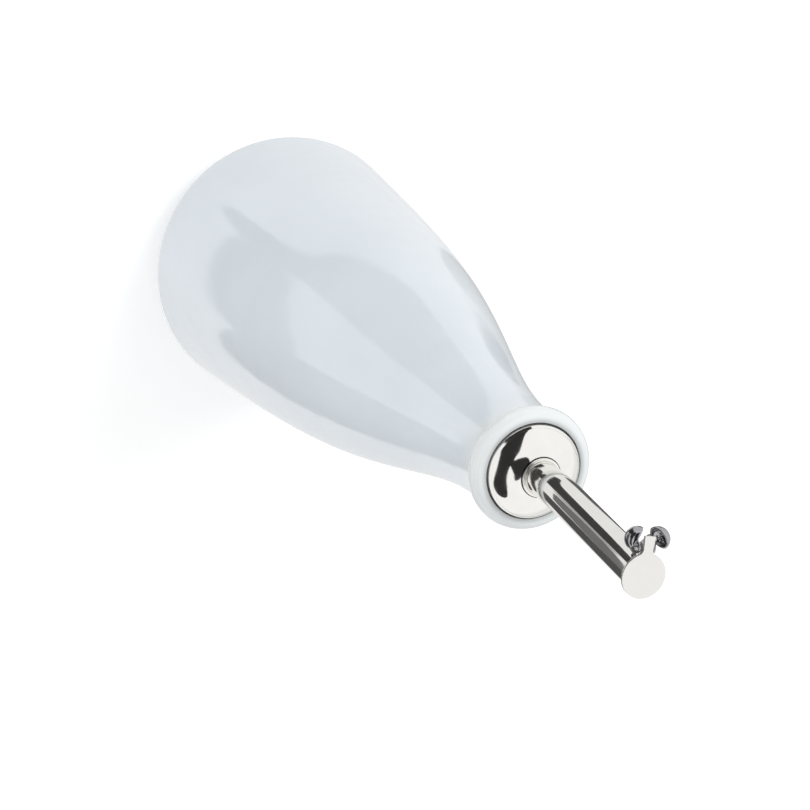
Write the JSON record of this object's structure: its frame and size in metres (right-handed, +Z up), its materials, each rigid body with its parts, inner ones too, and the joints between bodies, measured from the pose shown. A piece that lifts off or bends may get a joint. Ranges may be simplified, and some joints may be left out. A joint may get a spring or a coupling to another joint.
{
  "type": "vinegar cruet",
  "caption": "White glazed porcelain cruet with a rolled lip and a lift-out polished steel pourer whose spout has a small hinged flap.",
  "frame": {"origin": "centre of the foot, on the surface that the cruet stands on", "axes": "+Z up the bottle, +X the way the spout leans"},
  "size_m": [0.087, 0.087, 0.2857],
  "materials": {
    "porcelain": "clear gloss glaze",
    "polished_steel": "mirror polished stainless steel",
    "satin_steel": "fine satin",
    "steel": "plain stainless steel",
    "sleeve_rubber": "soft matt rubber",
    "core_plastic": "moulded"
  },
  "bodies": {
    "bottle": {"bottle": "porcelain"},
    "pourer": {"stopper_sleeve": "sleeve_rubber", "stopper_core": "core_plastic", "stopper_washer": "steel", "air_tube": "steel", "cap_dome": "polished_steel", "spout_ring": "polished_steel", "spout_tube": "polished_steel", "hinge_bracket": "polished_steel", "hinge_pin": "polished_steel"},
    "flap": {"pour_flap": "satin_steel"}
  },
  "joints": [
    {"name": "pourer_lift", "type": "slide", "parent": "bottle", "child": "pourer", "axis": [0, 0, 1], "range_m": [0, 0.06]},
    {"name": "flap_hinge", "type": "hinge", "parent": "pourer", "child": "flap", "pos_m": [0.00344, 0.00456, 0.28219], "axis": [-0.6157, -0.788, 0], "range_deg": [0, 80]}
  ]
}
